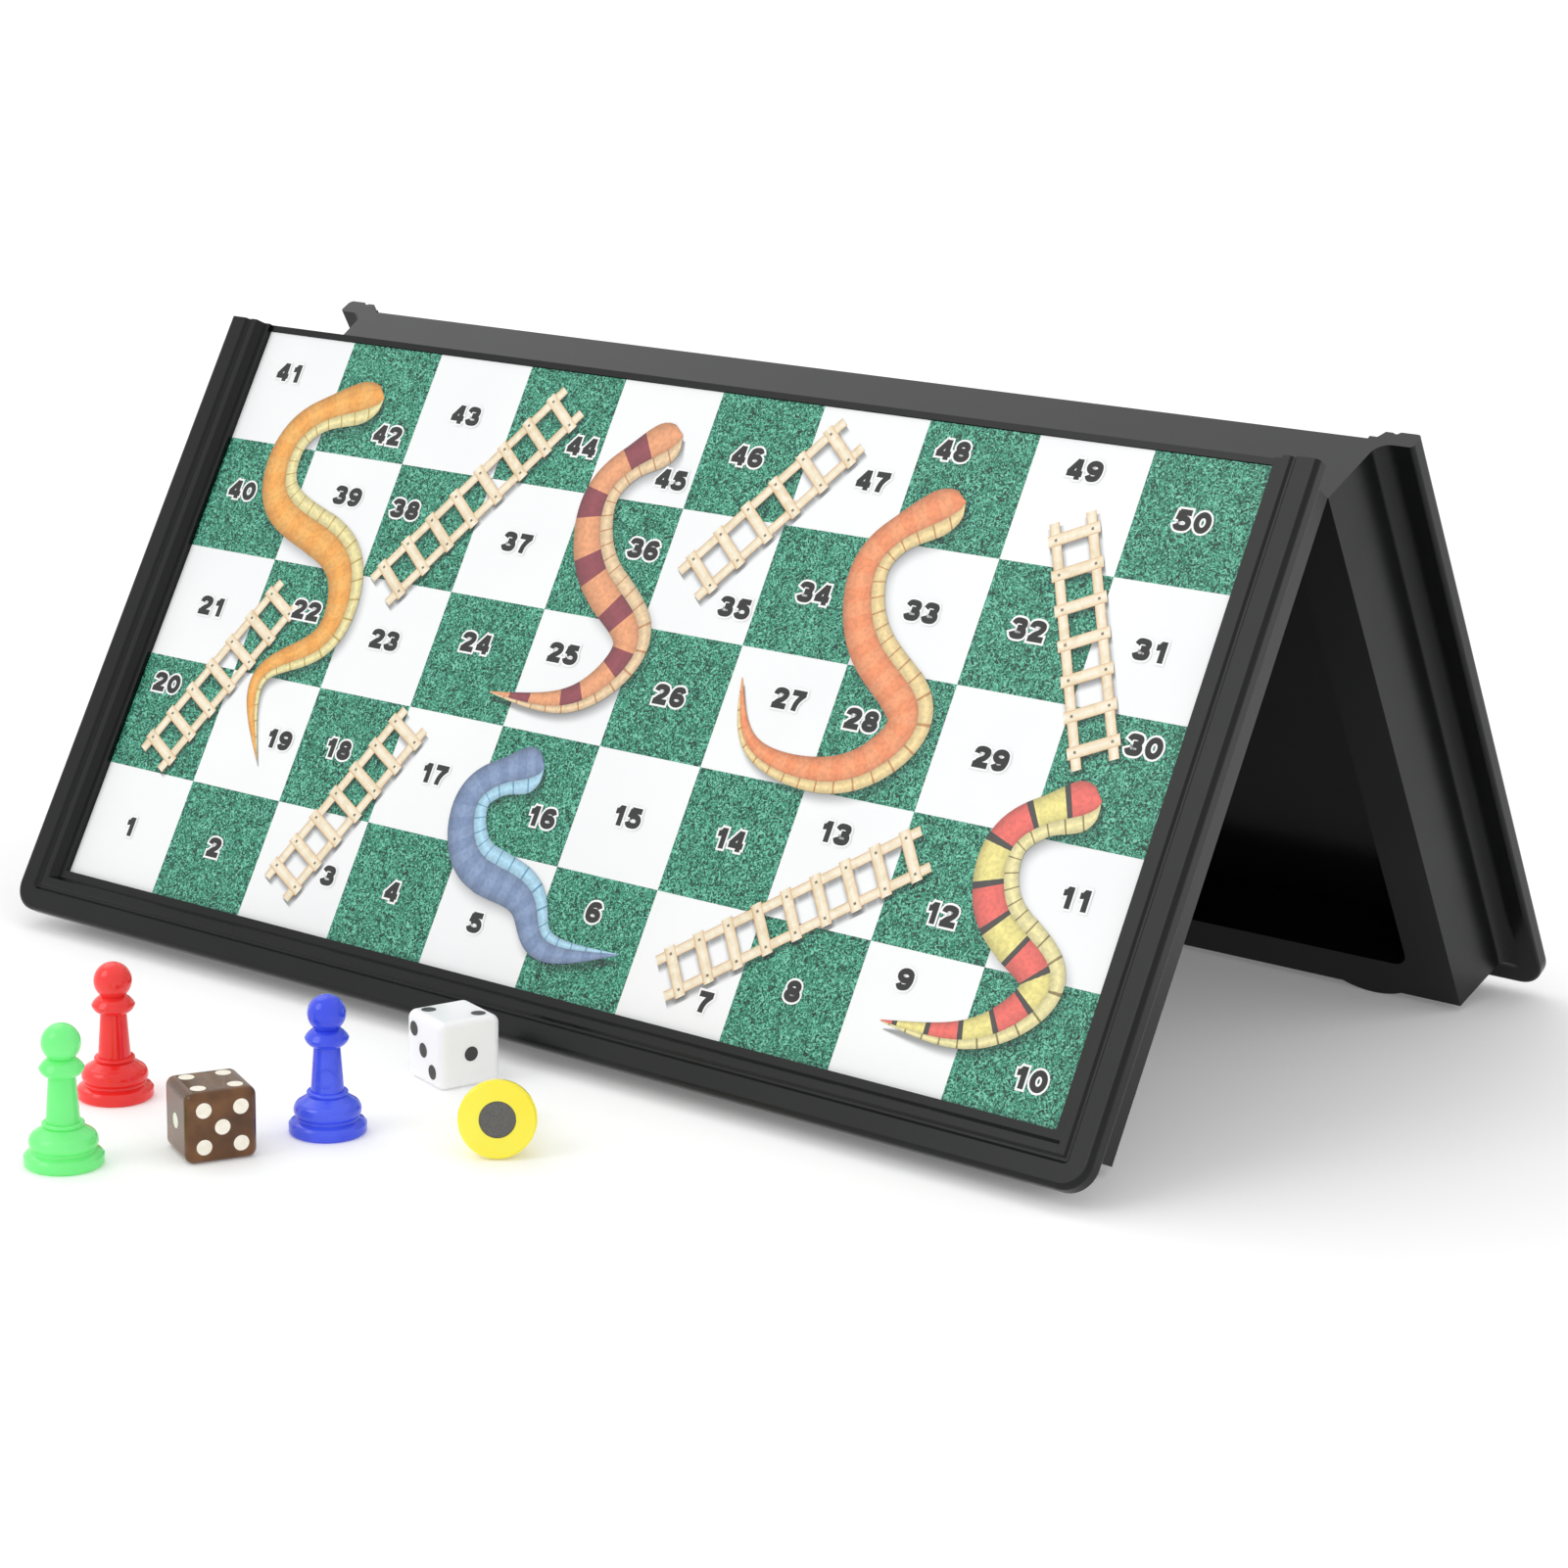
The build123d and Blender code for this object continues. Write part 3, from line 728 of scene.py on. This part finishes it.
halo_ink = printed_ink("number_halo_print", "#f7f8f8", "#f0f1f1", **LAMINATE)


def motifs(half):
    """Plain ladders and winding bodies, printed over the squares."""
    wood = bmesh.new()
    pegs = bmesh.new()
    shadow = bmesh.new()
    for foot, head in ladders[half]:
        ladder(wood, pegs, shadow, on_board(half, foot), on_board(half, head))
    for kind, points in windings[half]:
        made = bmesh.new()
        winding_body(made, shadow, [on_board(half, point) for point in points])
        print_piece(f"{kind}_winding", made, half, winding_inks[kind])
    print_piece("ladders", wood, half, wood_ink)
    print_piece("ladder_pegs", pegs, half, peg_ink)
    print_piece("printed_shadows", shadow, half, shadow_ink)


def board():
    """Both halves: trays, plates, pins and the printed play sides."""
    styrene = moulded_black_styrene()
    paper = laminated_paper()
    green = speckled_green_print()
    plate = bare_steel("tinned_plate_steel", "#b4b5b7", 0.3)
    pin = bare_steel("drawn_pin_steel", "#a9abad", 0.22)
    for half in ("front", "rear"):
        dress(f"{half}_tray", styrene)
        dress(f"{half}_steel_plate", plate)
        play_sheet(half, paper)
        green_squares(half, green)
        motifs(half)
        numbers(half)
    dress("hinge_pin_left", pin)
    dress("hinge_pin_right", pin)


def mould_mark(pawn, material):
    """Thin raised ring where a pin of the mould met a pawn's stem: it follows the stem's round."""
    middle = sum((Vector(corner) for corner in pawn.bound_box), Vector()) / 8
    centre = Vector((middle.x, middle.y, MARK_HEIGHT * MM))
    up = Vector((0.0, 0.0, 1.0))
    across = CAMERA_SIDE.cross(up)
    away = CAMERA_SIDE * 30 * MM
    made = bmesh.new()
    sections = []
    for i in range(MARK_STEPS):
        turn = 2 * pi * i / MARK_STEPS
        outward = across * cos(turn) + up * sin(turn)
        source = centre + outward * MARK_RADIUS * MM + away
        spot, normal = pawn.ray_cast(source, -CAMERA_SIDE)[1:3]
        section = []
        for k in range(MARK_SIDES):
            angle = 2 * pi * k / MARK_SIDES
            reach = (outward * cos(angle) + normal * sin(angle)) * MARK_TUBE * MM
            section.append(made.verts.new(spot + reach))
        sections.append(section)
    for low, high in zip(sections, sections[1:] + sections[:1]):
        for k in range(MARK_SIDES):
            j = (k + 1) % MARK_SIDES
            made.faces.new((low[k], high[k], high[j], low[j]))
    bmesh.ops.recalc_face_normals(made, faces=made.faces)
    new_piece("blue_pawn_mould_mark", made, material, "blue_pawn_piece")


def pawns():
    """Four pawns and their magnets."""
    ferrite = sintered_ferrite()
    plastics = {
        "green": ("#66ef7a", "#80fb90"),
        "red": ("#f42826", "#fd403d"),
        "blue": ("#364ce8", "#4c63f8"),
        "yellow": ("#ffea36", "#fff450"),
    }
    for colour, (deep, light) in plastics.items():
        plastic = glossy_plastic(f"{colour}_pawn_plastic", deep, light)
        dress(f"{colour}_pawn", plastic)
        if colour == "blue":
            mould_mark(frame["nodes"]["blue_pawn"], plastic)
        dress(f"{colour}_pawn_magnet", ferrite)


def dice():
    """Two dice with painted pips."""
    dress("brown_die", smoky_brown_plastic())
    dress("white_die", glossy_plastic("white_die_plastic", "#f9fafd", "#fdfdff", rough=0.12, glow=0.25))
    dress("brown_die_pips", pip_paint("cream_pip_paint", "#fffaee", "#f6efdd"))
    dress("white_die_pips", pip_paint("black_pip_paint", "#3c3c3c", "#2c2c2c"))


def camera():
    """Camera at the photo's viewpoint."""
    data = bpy.data.cameras.new("camera")
    data.lens = CAMERA_LENS
    data.sensor_width = CAMERA_SENSOR
    made = bpy.data.objects.new("camera", data)
    bpy.context.scene.collection.objects.link(made)
    place = Matrix.Translation(HINGE + Vector(CAMERA_OFFSET) * MM)
    heading = Matrix.Rotation(radians(CAMERA_HEADING), 4, "Z")
    pitch = Matrix.Rotation(radians(CAMERA_PITCH), 4, "X")
    roll = Matrix.Rotation(radians(CAMERA_ROLL), 4, "Z")
    made.matrix_world = place @ heading @ pitch @ roll
    bpy.context.scene.camera = made


def sun(name, source, strength, width):
    """A sun as wide as a soft box, in degrees, so that it lights the floor evenly."""
    data = bpy.data.lights.new(name, "SUN")
    data.energy = strength
    data.angle = radians(width)
    made = bpy.data.objects.new(name, data)
    bpy.context.scene.collection.objects.link(made)
    made.matrix_world = (-Vector(source)).to_track_quat("-Z", "Y").to_matrix().to_4x4()


def floor():
    """White paper floor, with a faint glow so that it stays white under soft light."""
    near, far = -FLOOR_REACH, FLOOR_REACH
    mesh = bpy.data.meshes.new("floor")
    mesh.from_pydata([(near, near, 0), (far, near, 0), (far, far, 0), (near, far, 0)], [], [(0, 1, 2, 3)])
    paper, tree, shader = new_material(
        "white_floor_paper", Roughness=0.9, Specular_IOR_Level=0.1, Emission_Strength=FLOOR_GLOW)
    shader.inputs["Base Color"].default_value = linear("#f6f6f6")
    shader.inputs["Emission Color"].default_value = linear("#ffffff")
    mesh.materials.append(paper)
    made = bpy.data.objects.new("floor", mesh)
    bpy.context.scene.collection.objects.link(made)


def surroundings():
    """World light: pure white where it is seen, mirrored or looked through, and softer as a lamp."""
    world = bpy.data.worlds.new("studio")
    bpy.context.scene.world = world
    world.use_nodes = True
    tree = world.node_tree
    light = tree.nodes["Background"]
    ray = add(tree, "ShaderNodeLightPath").outputs
    seen = add(
        tree, "ShaderNodeMath", {0: ray["Is Camera Ray"], 1: ray["Is Glossy Ray"]}, operation="MAXIMUM")
    through = add(
        tree, "ShaderNodeMath", {0: seen.outputs[0], 1: ray["Is Transmission Ray"]}, operation="MAXIMUM")
    strength = add(tree, "ShaderNodeMapRange", {
        "Value": through.outputs[0], "To Min": WORLD_LIGHT, "To Max": WORLD_SEEN})
    tree.links.new(strength.outputs["Result"], light.inputs["Strength"])
    light.inputs["Color"].default_value = linear("#ffffff")


board()
pawns()
dice()
camera()
floor()
surroundings()
sun("key_sun", source=(-0.55, 0.2, 0.8), strength=0.34, width=40.0)
sun("fill_sun", source=(-0.33, -0.66, 0.68), strength=0.5, width=34.0)
bpy.context.scene.view_settings.view_transform = "Standard"
